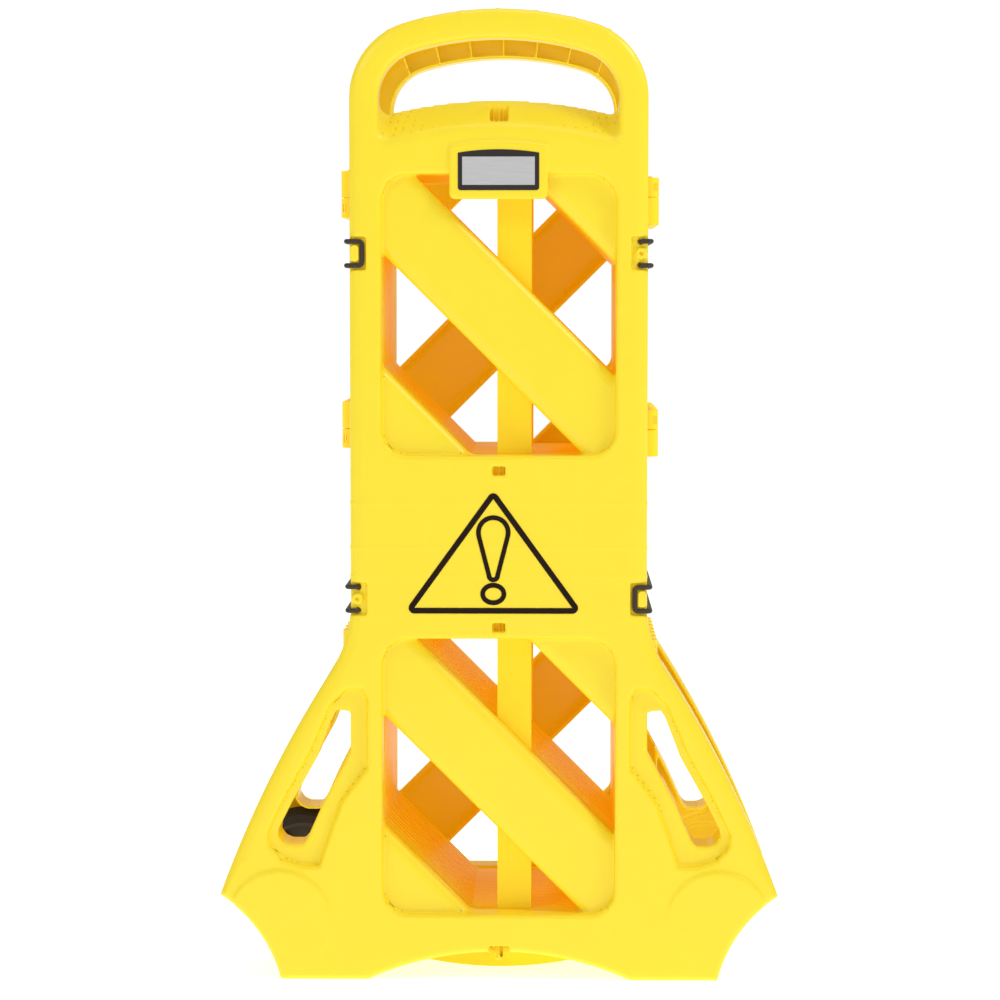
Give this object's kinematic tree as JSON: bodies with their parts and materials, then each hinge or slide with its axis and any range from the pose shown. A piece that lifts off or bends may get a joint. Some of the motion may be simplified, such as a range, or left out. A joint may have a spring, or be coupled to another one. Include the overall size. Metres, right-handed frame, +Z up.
{
  "type": "crowd control barrier",
  "caption": "Folding accordion barrier of braced yellow plastic panels between two handled end stands, held folded by elastic loops.",
  "frame": {"origin": "on the floor under the middle of the folded barrier", "axes": "+Z up, the front stand's face looks towards -Y, +X to the right seen from the front"},
  "size_m": [0.588, 0.3103, 1.0159],
  "materials": {
    "stand_plastic": "moulded yellow polypropylene, satin",
    "panel_plastic": "moulded yellow polypropylene, satin",
    "pin_plastic": "moulded yellow acetal, satin",
    "print_black": "matt black-brown print",
    "label": "laminated blank label",
    "elastic": "braided elastic cord, black",
    "tyre": "matt black rubber",
    "hub": "moulded black plastic",
    "bush": "natural plastic bush",
    "steel": "zinc plated steel"
  },
  "bodies": {
    "stand_front": {"stand_front": "stand_plastic", "sign_front": "print_black", "label_front": "label", "hinge_pins_00": "pin_plastic", "elastic_upper_front": "elastic", "elastic_lower_front": "elastic"},
    "half_link_front": {"half_link_front": "panel_plastic", "hinge_pins_01": "pin_plastic"},
    "panel_01": {"panel_01": "panel_plastic", "hinge_pins_02": "pin_plastic"},
    "panel_02": {"panel_02": "panel_plastic", "hinge_pins_03": "pin_plastic"},
    "panel_03": {"panel_03": "panel_plastic", "hinge_pins_04": "pin_plastic"},
    "panel_04": {"panel_04": "panel_plastic", "hinge_pins_05": "pin_plastic"},
    "panel_05": {"panel_05": "panel_plastic", "hinge_pins_06": "pin_plastic"},
    "panel_06": {"panel_06": "panel_plastic", "hinge_pins_07": "pin_plastic"},
    "panel_07": {"panel_07": "panel_plastic", "hinge_pins_08": "pin_plastic"},
    "panel_08": {"panel_08": "panel_plastic", "hinge_pins_09": "pin_plastic"},
    "panel_09": {"panel_09": "panel_plastic", "hinge_pins_10": "pin_plastic"},
    "panel_10": {"panel_10": "panel_plastic", "hinge_pins_11": "pin_plastic"},
    "panel_11": {"panel_11": "panel_plastic", "hinge_pins_12": "pin_plastic"},
    "panel_12": {"panel_12": "panel_plastic", "hinge_pins_13": "pin_plastic"},
    "half_link_rear": {"half_link_rear": "panel_plastic"},
    "stand_rear": {"stand_rear": "stand_plastic", "sign_rear": "print_black", "hinge_pins_14": "pin_plastic", "elastic_upper_rear": "elastic", "elastic_lower_rear": "elastic", "wheel_axle": "steel", "wheel_cap": "steel"},
    "wheel": {"wheel_tyre": "tyre", "wheel_hub": "hub", "wheel_bush": "bush"}
  },
  "joints": [
    {"name": "hinge_00", "type": "hinge", "parent": "stand_front", "child": "half_link_front", "pos_m": [0, -0.11, 0.458], "axis": [0, 0, 1], "range_deg": [0, 70], "deforming": ["elastic_upper_front", "elastic_lower_front", "elastic_upper_rear", "elastic_lower_rear"]},
    {"name": "hinge_01", "type": "hinge", "parent": "half_link_front", "child": "panel_01", "pos_m": [0.156, -0.102, 0.458], "axis": [0, 0, 1], "range_deg": [-140, 0]},
    {"name": "hinge_02", "type": "hinge", "parent": "panel_01", "child": "panel_02", "pos_m": [-0.156, -0.085, 0.458], "axis": [0, 0, 1], "range_deg": [0, 140]},
    {"name": "hinge_03", "type": "hinge", "parent": "panel_02", "child": "panel_03", "pos_m": [0.156, -0.068, 0.458], "axis": [0, 0, 1], "range_deg": [-140, 0]},
    {"name": "hinge_04", "type": "hinge", "parent": "panel_03", "child": "panel_04", "pos_m": [-0.156, -0.051, 0.458], "axis": [0, 0, 1], "range_deg": [0, 140]},
    {"name": "hinge_05", "type": "hinge", "parent": "panel_04", "child": "panel_05", "pos_m": [0.156, -0.034, 0.458], "axis": [0, 0, 1], "range_deg": [-140, 0]},
    {"name": "hinge_06", "type": "hinge", "parent": "panel_05", "child": "panel_06", "pos_m": [-0.156, -0.017, 0.458], "axis": [0, 0, 1], "range_deg": [0, 140]},
    {"name": "hinge_07", "type": "hinge", "parent": "panel_06", "child": "panel_07", "pos_m": [0.156, 0, 0.458], "axis": [0, 0, 1], "range_deg": [-140, 0]},
    {"name": "hinge_08", "type": "hinge", "parent": "panel_07", "child": "panel_08", "pos_m": [-0.156, 0.017, 0.458], "axis": [0, 0, 1], "range_deg": [0, 140]},
    {"name": "hinge_09", "type": "hinge", "parent": "panel_08", "child": "panel_09", "pos_m": [0.156, 0.034, 0.458], "axis": [0, 0, 1], "range_deg": [-140, 0]},
    {"name": "hinge_10", "type": "hinge", "parent": "panel_09", "child": "panel_10", "pos_m": [-0.156, 0.051, 0.458], "axis": [0, 0, 1], "range_deg": [0, 140]},
    {"name": "hinge_11", "type": "hinge", "parent": "panel_10", "child": "panel_11", "pos_m": [0.156, 0.068, 0.458], "axis": [0, 0, 1], "range_deg": [-140, 0]},
    {"name": "hinge_12", "type": "hinge", "parent": "panel_11", "child": "panel_12", "pos_m": [-0.156, 0.085, 0.458], "axis": [0, 0, 1], "range_deg": [0, 140]},
    {"name": "hinge_13", "type": "hinge", "parent": "panel_12", "child": "half_link_rear", "pos_m": [0.156, 0.102, 0.458], "axis": [0, 0, 1], "range_deg": [-140, 0]},
    {"name": "hinge_14", "type": "hinge", "parent": "half_link_rear", "child": "stand_rear", "pos_m": [0, 0.11, 0.458], "axis": [0, 0, 1], "range_deg": [0, 70]},
    {"name": "wheel_spin", "type": "hinge", "parent": "stand_rear", "child": "wheel", "pos_m": [-0.227, 0.118, 0.07], "axis": [0, 1, 0], "continuous": true}
  ],
  "couplings": [
    {"joint": "hinge_01", "follows": "hinge_00", "ratio": -2},
    {"joint": "hinge_02", "follows": "hinge_00", "ratio": 2},
    {"joint": "hinge_03", "follows": "hinge_00", "ratio": -2},
    {"joint": "hinge_04", "follows": "hinge_00", "ratio": 2},
    {"joint": "hinge_05", "follows": "hinge_00", "ratio": -2},
    {"joint": "hinge_06", "follows": "hinge_00", "ratio": 2},
    {"joint": "hinge_07", "follows": "hinge_00", "ratio": -2},
    {"joint": "hinge_08", "follows": "hinge_00", "ratio": 2},
    {"joint": "hinge_09", "follows": "hinge_00", "ratio": -2},
    {"joint": "hinge_10", "follows": "hinge_00", "ratio": 2},
    {"joint": "hinge_11", "follows": "hinge_00", "ratio": -2},
    {"joint": "hinge_12", "follows": "hinge_00", "ratio": 2},
    {"joint": "hinge_13", "follows": "hinge_00", "ratio": -2},
    {"joint": "hinge_14", "follows": "hinge_00", "ratio": 1}
  ]
}
